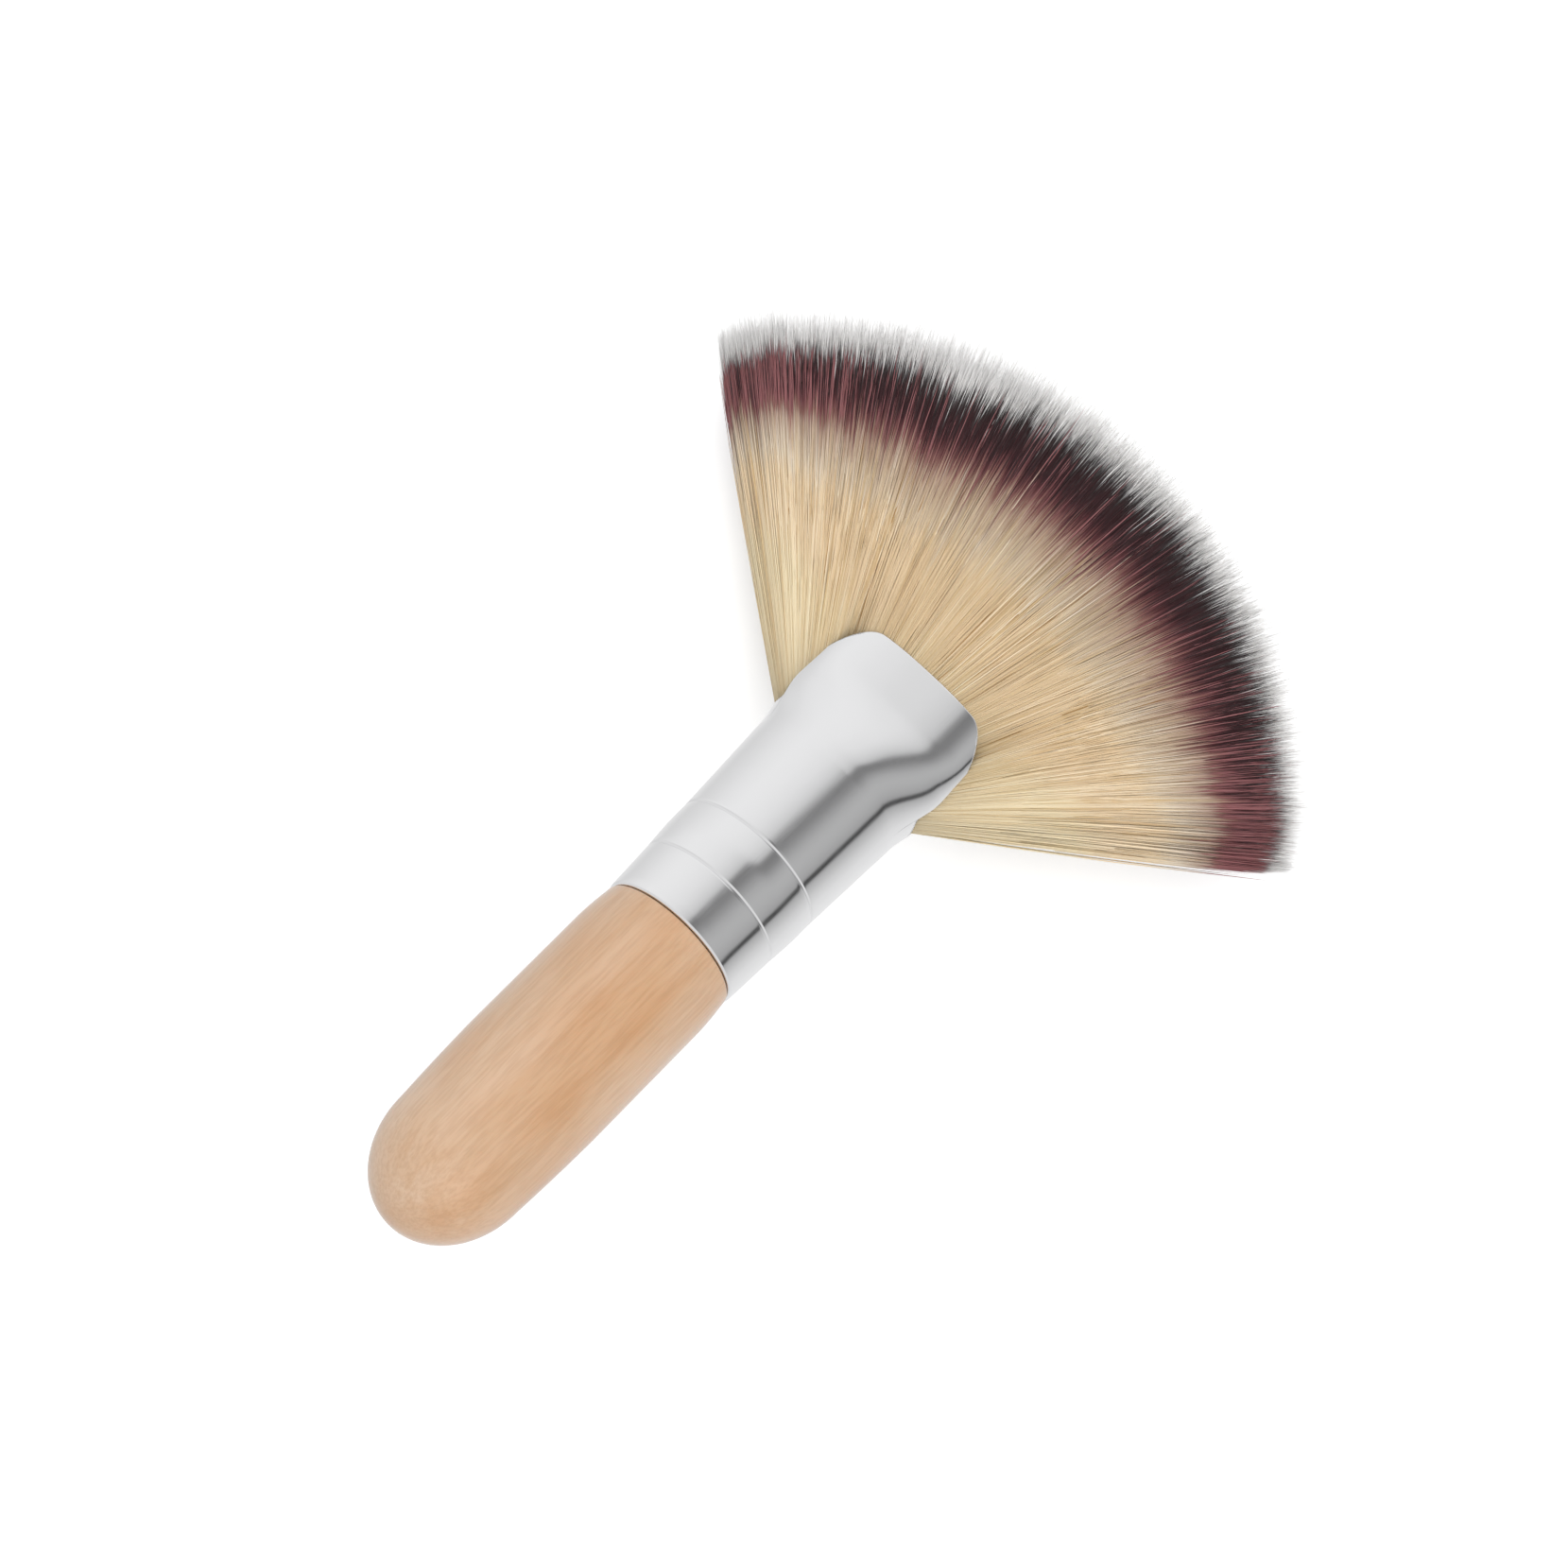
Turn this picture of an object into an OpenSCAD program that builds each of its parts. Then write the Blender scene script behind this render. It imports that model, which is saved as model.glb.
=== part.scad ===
// Fan makeup brush, lying free: a turned wooden handle, a drawn and pressed
// aluminium ferrule, the glue that holds the hair roots, and a fan of hair.
// Millimetres. The shape is worked out upright, with its axis along z and
// z = 0 at the ferrule's lower edge, and then laid down: the axis runs along
// +Y toward the hair, the fan spreads along X, and +Z is up.

/* [Ferrule] */
// Outer radius at the lower edge
ferrule_r = 6.75; // [5:0.05:9]
// Widening of the tube, in millimetres of radius per millimetre of length
ferrule_flare = 0.0447; // [0:0.001:0.08]
// Sheet thickness
wall = 0.4; // [0.3:0.05:0.8]
// Height of the lip above the lower edge
lip_z = 32; // [26:0.5:40]
// Height at which the round tube starts to be pressed flat
press_z = 19.5; // [15:0.5:24]
// Height of the crease, where the pressed faces turn parallel
crease_z = 28; // [24:0.5:31]
// Width across the pressed mouth
mouth_w = 17; // [14:0.1:20]
// Thickness across the pressed mouth
mouth_t = 9.2; // [6:0.1:12]
// Squareness of the mouth's section: 2 is an ellipse, more is boxier
mouth_n = 2.8; // [2:0.1:4]
// Height of the bottom of the two side slots that let the hair fan out
slot_z = 21.9; // [20:0.1:25]
// Gap of the side slots
slot_gap = 4; // [2:0.1:5]
// Width of the mouth's rounded corners
corner_w = 3.3; // [1:0.1:4]
// Height of the mouth's rounded corners
corner_h = 6.2; // [1:0.1:8]
// Rise of the lip in the middle
lip_bow = 0.2; // [0:0.05:1]
// Height of the lower groove rolled into the tube
groove_low = 4.9; // [3:0.1:7]
// Height of the upper groove rolled into the tube
groove_high = 9.8; // [8:0.1:13]
// Width of the grooves
groove_w = 0.35; // [0.3:0.05:1]
// Depth of the grooves
groove_d = 0.11; // [0.05:0.01:0.25]
// Rise of the low bead between the grooves
bead = 0.07; // [0:0.01:0.15]
// How far the lower edge is rolled in
edge_roll = 0.3; // [0.1:0.05:0.35]

/* [Handle] */
// Length of the handle below the ferrule
handle_len = 33.2; // [25:0.1:60]
// Radius of the straight grip
grip_r = 6.92; // [5.5:0.01:9]
// Depth below the ferrule at which the straight grip starts
grip_top = 4; // [2:0.5:8]
// Depth below the ferrule at which the straight grip ends
grip_end = 16; // [10:0.5:30]
// Radius just below the ferrule
neck_r = 6.66; // [5:0.01:8]
// Radius where the domed end starts
dome_r = 6.6; // [5:0.01:8]
// Length of the domed end
dome_len = 8; // [4:0.5:12]
// Length of the tenon inside the ferrule
tenon_len = 14; // [8:0.5:17]

/* [Glue] */
// Depth at which the glue reaches down between tenon and ferrule
glue_z = 5; // [3:0.5:10]

/* [Hair] */
// Height of the point that the hairs fan out from
fan_z = 15.9; // [14:0.1:18]
// Half of the fan's opening angle, in degrees
fan_half = 50.5; // [35:0.5:60]
// Radius of the fan at its middle
fan_r = 48; // [35:0.5:60]
// How much shorter the fan is at its two edges
fan_drop = 3; // [0:0.5:10]
// Thickness of the fan at its middle
fan_t = 10; // [6:0.5:16]
// Thickness of the fan beside its edges
fan_edge_t = 7.4; // [3:0.1:9]
// Start of the dark band, as a part of the fan's radius
band_in = 0.755; // [0.5:0.005:0.85]
// End of the dark band, as a part of the fan's radius
band_out = 0.865; // [0.6:0.005:0.95]
// Height of the ridges that the locks of hair make
lock_ridge = 0.16; // [0:0.01:0.4]
// Pointed tips in one layer of the fan
tip_count = 31; // [16:1:50]
// Half width of one tip at its root
tip_w = 1.6; // [0.8:0.1:2.5]

/* [Fit] */
// Gap left between pieces that are glued or pressed together
fit_gap = 0.05; // [0.02:0.01:0.2]

/* [Lying down] */
// How far the axis is pitched, hair end up, in degrees
pitch = 1.12; // [0:0.01:3]

/* [Show] */
// Piece to draw

/* [Hidden] */
round_fn = 96;
// The tenon's play in the ferrule, and the hair's roots under press_z
tenon_play = 0.07;
tenon_r = ferrule_r - wall - tenon_play;
root_z = press_z - 0.35;
// Directions of the hair's columns
columns = 60;
// The columns are closer together toward the fan's edges: part of a sine's
// quarter that their places run through
column_turn = 0.86;
// The pressed mouth reaches its full width this far above press_z
widen_len = 5.5;
// Part of the pressing that is straight, so that the crease shows
crease_part = 0.15;
// Exponents of the mouth's corners and of the fan's thickness
corner_e = 1.8;
fan_e = 0.7;
// Height of the rounded bottom of the side slots
slot_round = 0.6;
// Rounded shoulder of the handle under the ferrule, and the tenon's chamfer
shoulder_w = 0.25;
shoulder_h = 0.3;
chamfer_w = 0.6;
chamfer_h = 1.2;
// Exponent of the easy taper toward the domed end
taper_e = 1.6;
// The hair starts to swell this far outside the ferrule, over this length
swell_from = 0.8;
swell_len = 7;
// The ridges of the locks rise over this length, this part of them regular
lock_len = 10;
lock_even = 0.6;
// Raggedness of the dark band's two ends, by chance and from lock to lock
ragged_in = 0.9;
ragged_out = 0.5;
ragged_even = 0.45;
// Width of the rounding along the fan's two edges, in degrees
edge_a = 6.5;
// The brush rests on the ferrule's shoulder, at press_z, and on its grip
axis_h = (ferrule_r + ferrule_flare * press_z) * cos(pitch) - press_z * sin(pitch);
middle_y = (fan_z + fan_r - handle_len) / 2 * cos(pitch);

// Ferrule: outer section at height z
function ease(s) = let(c = max(0, min(1, s))) c * c * (3 - 2 * c);
function press(z) =
    let(s = max(0, min(1, (z - press_z) / (crease_z - press_z))))
    (1 - crease_part) * ease(s) + crease_part * s;
function tube_r(z) = ferrule_r + ferrule_flare * min(z, press_z);
function half_w(z) =
    tube_r(z) + (mouth_w / 2 - tube_r(press_z)) * ease((z - press_z) / widen_len);
function half_t(z) = tube_r(z) + (mouth_t / 2 - tube_r(press_z)) * press(z);
function square(z) = 2 + (mouth_n - 2) * press(z);
function power(v, e) = sign(v) * pow(abs(v), e);
function section(z, t, inset) = [
    (half_w(z) - inset) * power(cos(t), 2 / square(z)),
    (half_t(z) - inset) * power(sin(t), 2 / square(z)),
    z
];
// Half thickness of the section at a distance x from its middle
function section_y(z, x, inset) =
    let(q = min(1, abs(x) / (half_w(z) - inset)))
    (half_t(z) - inset) * pow(1 - pow(q, square(z)), 1 / square(z));

// Ferrule: angles of its columns, closer together beside the slots
slot_t = asin(pow(slot_gap / mouth_t, mouth_n / 2));
quarter = concat(
    [for (q = [0, 0.3, 0.57, 0.8, 0.93, 0.985]) q * slot_t],
    [for (q = [0.012, 0.04, 0.08, 0.13, 0.19, 0.26, 0.34, 0.43, 0.53, 0.64, 0.76, 0.88])
        slot_t + q * (90 - slot_t)]
);
angles = concat(
    quarter,
    [90],
    [for (i = [len(quarter) - 1 : -1 : 1]) 180 - quarter[i]],
    [for (t = quarter) 180 + t],
    [270],
    [for (i = [len(quarter) - 1 : -1 : 1]) 360 - quarter[i]]
);
// Ferrule: height of the cut edge at column angle t
function corner_drop(x) =
    let(k = max(0, min(1, (x - mouth_w / 2 + corner_w) / corner_w)))
    corner_h * (1 - pow(1 - pow(k, corner_e), 1 / corner_e));
function edge_z(t) =
    let(
        p = section(lip_z, t, 0),
        q = abs(p[1]) / (slot_gap / 2)
    )
    q < 1
        ? slot_z + slot_round * (1 - sqrt(1 - q * q))
        : lip_z - lip_bow * pow(p[0] * 2 / mouth_w, 2) - corner_drop(abs(p[0]));

groove = [[-0.5, 0], [-0.16, -1], [0.16, -1], [0.5, 0]];
tube_rows = concat(
    [for (q = [0, 0.25, 0.5, 0.75, 1])
        [edge_roll * (1 - cos(90 * q)), edge_roll * (1 - sin(90 * q))]],
    [for (g = groove) [groove_low + g[0] * groove_w, -g[1] * groove_d]],
    [for (q = [0.2, 0.5, 0.8])
        [groove_low + q * (groove_high - groove_low), -bead * sin(180 * q)]],
    [for (g = groove) [groove_high + g[0] * groove_w, -g[1] * groove_d]],
    [[press_z, 0]]
);
mouth_rows = [0.08, 0.16, 0.24, 0.32, 0.41, 0.5, 0.59, 0.68, 0.77, 0.88, 0.99];
inner_rows = [0.99, 0.86, 0.68, 0.54, 0.4, 0.26, 0.12, 0];

function mouth_point(t, v, inset) =
    section(press_z + v * (edge_z(t) - press_z), t, inset);

module lofted(rings) {
    n = len(rings[0]);
    m = len(rings);
    polyhedron(
        points = [for (r = rings) for (p = r) p],
        faces = [
            for (i = [0 : m - 1])
                for (j = [0 : n - 1])
                    for (half = [0, 1])
                        let(
                            a = i * n + j,
                            b = i * n + (j + 1) % n,
                            c = ((i + 1) % m) * n + j,
                            d = ((i + 1) % m) * n + (j + 1) % n
                        )
                        half == 0 ? [a, c, b] : [b, c, d]
        ],
        convexity = 6
    );
}

module ferrule_upright() {
    lofted(concat(
        [for (r = tube_rows) [for (t = angles) section(r[0], t, r[1])]],
        [for (v = mouth_rows) [for (t = angles) mouth_point(t, v, 0)]],
        [[for (t = angles) mouth_point(t, 1, wall / 2)]],
        [for (v = inner_rows) [for (t = angles) mouth_point(t, v, wall)]],
        [[for (t = angles) section(0, t, wall)]]
    ));
}

// Handle: half profile from the tenon down to the domed end
handle_profile = concat(
    [[0, tenon_len], [tenon_r - chamfer_w, tenon_len], [tenon_r, tenon_len - chamfer_h]],
    [[tenon_r, -fit_gap], [neck_r - shoulder_w, -fit_gap]],
    [for (q = [0.3, 0.6, 0.9])
        [neck_r - shoulder_w + shoulder_w * sin(90 * q),
            -fit_gap - shoulder_h * (1 - cos(90 * q))]],
    [for (q = [0.15, 0.3, 0.45, 0.6, 0.75, 0.9])
        [neck_r + (grip_r - neck_r) * sin(90 * q),
            -(1 - q) * (fit_gap + shoulder_h) - q * grip_top]],
    [[grip_r, -grip_top], [grip_r, -grip_end]],
    [for (q = [0.2, 0.4, 0.6, 0.8, 1])
        [grip_r + (dome_r - grip_r) * pow(q, taper_e),
            -grip_end - (handle_len - dome_len - grip_end) * q]],
    [for (a = [8, 17, 26, 35, 44, 53, 62, 70, 78, 84])
        [dome_r * cos(a), dome_len - handle_len - dome_len * sin(a)]],
    [[0, -handle_len]]
);

module handle_upright() {
    rotate_extrude($fn = round_fn)
        polygon(handle_profile);
}

module glue_upright() {
    rotate_extrude($fn = round_fn)
        polygon([
            [tenon_r + fit_gap, glue_z],
            [tube_r(glue_z) - wall - fit_gap, glue_z],
            [tube_r(root_z) - wall - fit_gap, root_z - fit_gap],
            [0, root_z - fit_gap],
            [0, tenon_len + fit_gap],
            [tenon_r + fit_gap, tenon_len + fit_gap]
        ]);
}

// Hair: directions of its columns, from one edge of the fan to the other
function column_q(j) =
    sin(90 * column_turn * (2 * j / columns - 1)) / sin(90 * column_turn);
function column_a(j) = fan_half * column_q(j);
function fan_out(a) = fan_r - fan_drop * pow(a / fan_half, 2);
// Radius at which a hair leaves the ferrule, through the lip or a side slot
function leave_r(a) = min(
    (lip_z - fan_z) / cos(a),
    (mouth_w / 2 - wall) / max(sin(abs(a)), 0.01)
);
// Closing of the fan's two edges
function edge_round(a) =
    let(k = max(0, (abs(a) - fan_half + edge_a) / edge_a))
    sqrt(max(0, 1 - k * k));
// Half thickness of the hair where it leaves the ferrule, and well past it
function leave_y(a) = edge_round(a) * max(
    slot_gap / 2 - fit_gap,
    section_y(lip_z, leave_r(a) * sin(a), wall + fit_gap)
);
function full_y(a) = edge_round(a) * (
    fan_edge_t / 2
    + (fan_t - fan_edge_t) / 2 * pow(max(0, 1 - pow(a / fan_half, 2)), fan_e)
);
function free_y(a, r) =
    let(s = max(0, r - leave_r(a) - swell_from))
    leave_y(a) + (full_y(a) - leave_y(a)) * (1 - exp(-s / swell_len));
lock_noise = rands(-1, 1, columns + 1, 11);
edge_noise = concat([0], rands(-1, 1, columns - 1, 12), [0]);
function lock_y(j, side, r) =
    let(
        a = column_a(j),
        grow = ease((r - leave_r(a) - swell_from) / lock_len) * edge_round(a),
        regular = j % 2 == 0 ? lock_even : -lock_even
    )
    grow * lock_ridge * (regular + lock_noise[side > 0 ? j : columns - j]);
function hair_point(a, r, y) = [r * sin(a), y, fan_z + r * cos(a)];
// A row inside the ferrule, on its inner section at height z
function root_point(j, side, z) =
    let(
        x = (half_w(z) - wall - fit_gap) * tan(column_a(j)) / tan(fan_half)
    )
    [x, side * section_y(z, x, wall + fit_gap), z];
// A row between height z = slot_z and the way out of the ferrule
function mouth_hair(j, side, f) =
    let(
        a = column_a(j),
        start = (slot_z - fan_z) / cos(a),
        r = start + f * (leave_r(a) - start),
        p = hair_point(a, r, 0),
        y = min(section_y(p[2], p[0], wall + fit_gap), full_y(a) * 2),
        y_out = leave_y(a),
        part = y > y_out ? pow(f, 3) : ease(f)
    )
    hair_point(a, r, side * (y + (y_out - y) * part));
function free_point(j, side, part, thick) =
    let(
        a = column_a(j),
        from = leave_r(a),
        r = from + part * (band_edge(j, 0) - from)
    )
    hair_point(a, r, side * thick * (free_y(a, r) + lock_y(j, side, r)));
// Ragged start (0) and end (1) of the dark band at column j
function band_edge(j, which) =
    fan_out(column_a(j)) * (which == 0 ? band_in : band_out)
    + (which == 0 ? ragged_in : -ragged_out) * edge_noise[j]
    + (j % 2 == 0 ? ragged_even : -ragged_even);
function band_point(j, side, part, thick) =
    let(
        a = column_a(j),
        r = band_edge(j, 0) + part * (band_edge(j, 1) - band_edge(j, 0))
    )
    hair_point(a, r, side * thick * (free_y(a, r) + lock_y(j, side, r)));

// Rings of columns go round the front from one edge to the other and back
ring = concat(
    [for (j = [0 : columns]) [j, -1]],
    [for (j = [columns - 1 : -1 : 1]) [j, 1]]
);

module capped(rings) {
    n = len(rings[0]);
    m = len(rings);
    polyhedron(
        points = [for (r = rings) for (p = r) p],
        faces = concat(
            [
                for (i = [0 : m - 2])
                    for (j = [0 : n - 1])
                        for (half = [0, 1])
                            let(
                                a = i * n + j,
                                b = i * n + (j + 1) % n,
                                c = a + n,
                                d = b + n
                            )
                            half == 0 ? [a, c, b] : [b, c, d]
            ],
            // The end strips join each front column to the back one
            [
                for (j = [0 : columns - 1])
                    for (half = [0, 1])
                        let(
                            a = j,
                            b = j + 1,
                            c = (n - j) % n,
                            d = n - j - 1
                        )
                        if (half == 0 ? a != c : b != d)
                            half == 0 ? [a, b, c] : [b, d, c]
            ],
            [
                for (j = [0 : columns - 1])
                    for (half = [0, 1])
                        let(
                            o = (m - 1) * n,
                            a = o + j,
                            b = o + j + 1,
                            c = o + (n - j) % n,
                            d = o + n - j - 1
                        )
                        if (half == 0 ? a != c : b != d)
                            half == 0 ? [a, c, b] : [b, c, d]
            ]
        ),
        convexity = 6
    );
}

module hair_body() {
    capped(concat(
        [for (z = [root_z, (root_z + slot_z) / 2])
            [for (c = ring) root_point(c[0], c[1], z)]],
        [for (f = [0, 0.3, 0.6, 0.8, 1])
            [for (c = ring) mouth_hair(c[0], c[1], f)]],
        [for (part = [0.05, 0.15, 0.3, 0.5, 0.75, 1])
            [for (c = ring) free_point(c[0], c[1], part, 1)]]
    ));
}

module hair_band() {
    capped([
        for (row = [[0, 1], [0.5, 0.97], [1, 0.86], [1.3, 0.5]])
            [for (c = ring) band_point(c[0], c[1], row[0], row[1])]
    ]);
}

// A thin slice of a tip, at radius r in direction a
module tip_slice(a, r, y, wide, deep, sides) {
    translate([0, 0, fan_z])
        rotate([0, a, 0])
            translate([0, y, r])
                scale([wide, deep, 1])
                    cylinder(h = slice_h, r = 1, $fn = sides);
}

// One pointed tip, full at the root and slender at the end, in direction a,
// on the layer at part k of the thickness
module hair_tip(a, k, reach) {
    out = fan_out(a);
    root = out * (band_out - tip_overlap);
    end = out * reach;
    y = k * free_y(a, root);
    deep = tip_deep * free_y(a, root);
    hull() {
        tip_slice(a, root, y, tip_w, deep, 6);
        tip_slice(a, root + tip_belly * (end - root), y * (1 - tip_bend * tip_belly),
            tip_w * tip_slim, deep * tip_slim, 6);
        tip_slice(a, end, y * (1 - tip_bend), slice_h, slice_h, 3);
    }
}

// Height of a slice, which is also the half width of a tip's end
slice_h = 0.1;
// Half thickness of a tip at its root, as a part of the fan's
tip_deep = 0.42;
// How far a tip's root reaches under the band, as a part of the fan's radius
tip_overlap = 0.05;
// Place of a tip's belly along it, and its size there as a part of the root's
tip_belly = 0.55;
tip_slim = 0.66;
// How far a tip bends in toward the middle layer at its end, as a part
tip_bend = 0.16;
// Layers of tips, and how far the outer two are from the middle, as a part
tip_layers = 3;
layer_step = 0.52;
tip_noise = rands(0, 1, tip_count * tip_layers, 21);
// Radius of the shortest tips, as a part of the fan's radius
tip_short = 0.955;
module hair_tips() {
    edge_room = atan(tip_w / (fan_r * band_out));
    step = 2 * (fan_half - edge_room) / (tip_count - 1);
    for (layer = [0 : tip_layers - 1])
        for (i = [0 : tip_count - 1 - layer % 2])
            let(at_edge = layer % 2 == 0 && (i == 0 || i == tip_count - 1))
            hair_tip(
                edge_room - fan_half + step * (i + (layer % 2) / 2),
                (layer - 1) * layer_step,
                tip_short + (1 - tip_short)
                    * (at_edge ? 0.5 : tip_noise[layer * tip_count + i])
            );
}

module bristles_upright() {
    color([0.88, 0.79, 0.66])
        hair_body();
    color([0.3, 0.21, 0.21])
        hair_band();
    color([0.94, 0.93, 0.92])
        hair_tips();
}

// Lays the upright shape down on the floor
module lying() {
    translate([0, -middle_y, axis_h])
        rotate([-90 + pitch, 0, 0])
            children();
}

module handle() {
    color([0.84, 0.69, 0.54])
        lying()
            handle_upright();
}

module ferrule() {
    color([0.86, 0.86, 0.87])
        lying()
            ferrule_upright();
}

module glue_plug() {
    color([0.8, 0.72, 0.5])
        lying()
            glue_upright();
}

module bristles() {
    lying()
        bristles_upright();
}

handle();
ferrule();
glue_plug();
bristles();
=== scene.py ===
"""The fan makeup brush, dressed for a picture: varnished handle, pressed and
polished ferrule, and a fan of separate hairs, lying on a plain white floor.
Everything is in metres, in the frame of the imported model."""

import math
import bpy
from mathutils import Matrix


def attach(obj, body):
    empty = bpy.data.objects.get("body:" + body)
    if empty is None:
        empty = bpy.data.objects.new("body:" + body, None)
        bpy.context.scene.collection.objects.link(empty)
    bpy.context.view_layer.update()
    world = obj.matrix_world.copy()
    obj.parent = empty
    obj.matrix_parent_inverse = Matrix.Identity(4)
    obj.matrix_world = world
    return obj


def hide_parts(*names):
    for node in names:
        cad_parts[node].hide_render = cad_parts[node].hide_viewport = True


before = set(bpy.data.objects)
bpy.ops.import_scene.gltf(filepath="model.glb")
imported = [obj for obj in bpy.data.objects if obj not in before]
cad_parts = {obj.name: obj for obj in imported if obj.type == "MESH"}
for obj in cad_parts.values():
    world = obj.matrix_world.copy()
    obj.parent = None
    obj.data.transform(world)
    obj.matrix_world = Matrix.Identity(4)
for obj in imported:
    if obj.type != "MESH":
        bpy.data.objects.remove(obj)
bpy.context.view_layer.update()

from types import SimpleNamespace

import bpy
import numpy as np
from bpy.props import FloatProperty, FloatVectorProperty, IntProperty, PointerProperty
from mathutils import Matrix, Vector

bl_info = {
    "name": "Fan Makeup Brush",
    "version": (1, 0, 0),
    "blender": (4, 5, 0),
    "location": "View3D > Sidebar > Fan Brush",
    "description": "Builds a fan makeup brush and a plain white studio",
    "category": "Add Mesh",
}

MM = 0.001
BODY = "root"

# Clearance between pieces that touch, and of the tenon in the tube
GAP = 0.05 * MM
TENON_GAP = 0.07 * MM
TENON_CHAMFER = 0.6 * MM
TENON_CHAMFER_LEN = 1.2 * MM
# Rounding of the handle's shoulder, and how fast its radius falls to the dome
SHOULDER_IN = 0.25 * MM
SHOULDER_LEN = 0.3 * MM
TAPER_POWER = 1.6
# Depth of the slots' rounded bottoms, and the lip corners' superellipse
SLOT_ROUND = 0.6 * MM
CORNER_POWER = 1.8
# Part of the pressing that is a smooth step, and part that is straight
PRESS_EASE = 0.85
PRESS_STRAIGHT = 0.15

# The fan's swell: hair stays as thick as the mouth for a short way, and
# springs up sooner where it passes the lip's corners
SWELL_START = 0.8 * MM
LIP_CORNER = math.radians(27)
LIP_CORNER_WIDTH = math.radians(5)
LIP_CORNER_GAIN = 0.5
CROWN_POWER = 0.7
# Depth in the ferrule at which the hairs and the core begin
HAIR_ROOT = 2.5 * MM
CORE_ROOT = 2.4 * MM
# The core lies just under the hairs, in thickness and in angle
CORE_T = 0.965
CORE_HALF = 0.985

# Where the dye's outer end lies: how far inside the fan's outline, how much
# further out at the right edge and in at both, and how far a slipped lock has
# it in, at which angle and how wide; the band is narrower toward the edges
BAND_END = 0.875
DYE_IN = 0.4 * MM
DYE_TILT = 0.3 * MM
DYE_EDGE_IN = 0.9 * MM
SLIP = 1.3 * MM
SLIP_AT = math.radians(20)
SLIP_WIDTH = math.radians(7)
BAND_NARROW = 0.6

# Locks: part of the fan that their middles fill, scatter of the middles and
# spread of a lock's hairs in lock widths, and the least and the most of the
# part LOCK_LEAN that a lock draws its hairs together by. Then how much a lock
# adds to the reach, the rise and the dye's place of its hairs
LOCKS_FILL = 0.985
LOCK_SCATTER = 0.25
LOCK_SPREAD = 1.6
LOCK_PULL = (0.1, 0.9)
LOCK_LEAN = 0.2
LOCK_REACH = 0.005
LOCK_RISE = 0.02 * MM
LOCK_DYE = 0.006
# Furthest directions of the hairs' roots and ends, beside the half angle
ROOT_LIMIT = 0.99
END_LIMIT = 1.012
# Length of a hair as part of the radius: most end just past the band, ever
# fewer reach the outline; those past it get another length inside it
REACH = 0.925
REACH_SCATTER = 0.014
REACH_TAIL = 0.032
REACH_EDGE = 0.02
REACH_DEPTH = 0.012
REACH_AGAIN = (0.90, 0.99)
# Late hairs rise from this far below their place, over a third of their run
LATE_BELOW = 0.12
LATE_RISE = 3
# Free length over which a hair gets all of its stray, and the stray's curve;
# how far a hair weaves between its rings; the share of wild hairs, and how
# many times the stray theirs is; the rise of a hair's end and of its rings
FREE_LEN = 25 * MM
STRAY = 0.45 * MM
STRAY_POWER = 0.9
WEAVE = 0.08 * MM
WILD_SHARE = 0.12
WILD_STRAY = 2.5
END_RISE = 0.05 * MM
RING_RISE = 0.045 * MM
# Toward the fan's edges the hairs lie closer: from which part of the half
# angle, over which part, and how much of the stray and the rise goes
SETTLE_FROM = 0.7
SETTLE_OVER = 0.25
SETTLE_STRAY = 0.55
SETTLE_RISE = 0.75
# The tips splay by this part of the thickness over the last part of the radius
SPLAY = 0.05
SPLAY_FROM = 0.8
SPLAY_OVER = 0.2
# Thickness beside the usual one, length of the point, and its last thickness
THICK = (0.75, 1.2)
POINT_LEN = 9 * MM
POINT_LEAST = 0.15
# Scatter of the band's place; the share of hairs with more, and how much more
DYE_SCATTER = 0.015
DYE_WILD_SHARE = 0.1
DYE_WILD = 2.2
# Share of hairs that took less dye at random, at the middle; the extra share made pale toward the
# edges as painted light, which lightens the fan's two ends; and the u below which the material takes a
# hair as pale
LITTLE_DYE = 0.05
PAINTED_EDGE_LIGHT = 0.85
LITTLE_DYE_U = 0.3

# The floor's grey, the light of its own, and half its width in metres; the
# grey of the cloth that the ferrule mirrors on the handle's side
FLOOR_GREY = 0.75
FLOOR_GLOW = 0.35
FLOOR_HALF = 3.0
CLOTH_GREY = 0.76


def linear(hex_colour):
    """The linear red, green and blue of an sRGB hex colour such as "d7b695"."""
    parts = np.array([int(hex_colour[i : i + 2], 16) / 255 for i in (0, 2, 4)])
    low = parts / 12.92
    high = ((parts + 0.055) / 1.055) ** 2.4
    return tuple(float(v) for v in np.where(parts <= 0.04045, low, high))


def grey(value):
    """A grey of that linear brightness."""
    return (value, value, value)


WHITE = grey(1)
BLACK = grey(0)
# Settings of a node that mixes two colours, or multiplies them
MIXED = {"data_type": "RGBA"}
MULTIPLIED = {"data_type": "RGBA", "blend_type": "MULTIPLY"}


def length(name, value, text):
    """A length property whose default is value, in millimetres."""
    return FloatProperty(
        name=name, description=text, default=value * MM, min=0, unit="LENGTH", precision=5
    )


def number(name, value, text):
    """A plain number property."""
    return FloatProperty(name=name, description=text, default=value, precision=4)


def angle(name, degrees, text):
    """An angle property whose default is given in degrees."""
    return FloatProperty(name=name, description=text, default=math.radians(degrees), subtype="ANGLE")


def count(name, value, text):
    """A whole number property."""
    return IntProperty(name=name, description=text, default=value, min=1)


def colour(name, hex_colour, text):
    """A colour property whose default is an sRGB hex colour."""
    return FloatVectorProperty(
        name=name, description=text, default=linear(hex_colour), subtype="COLOR", size=3, min=0, max=1
    )


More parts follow.
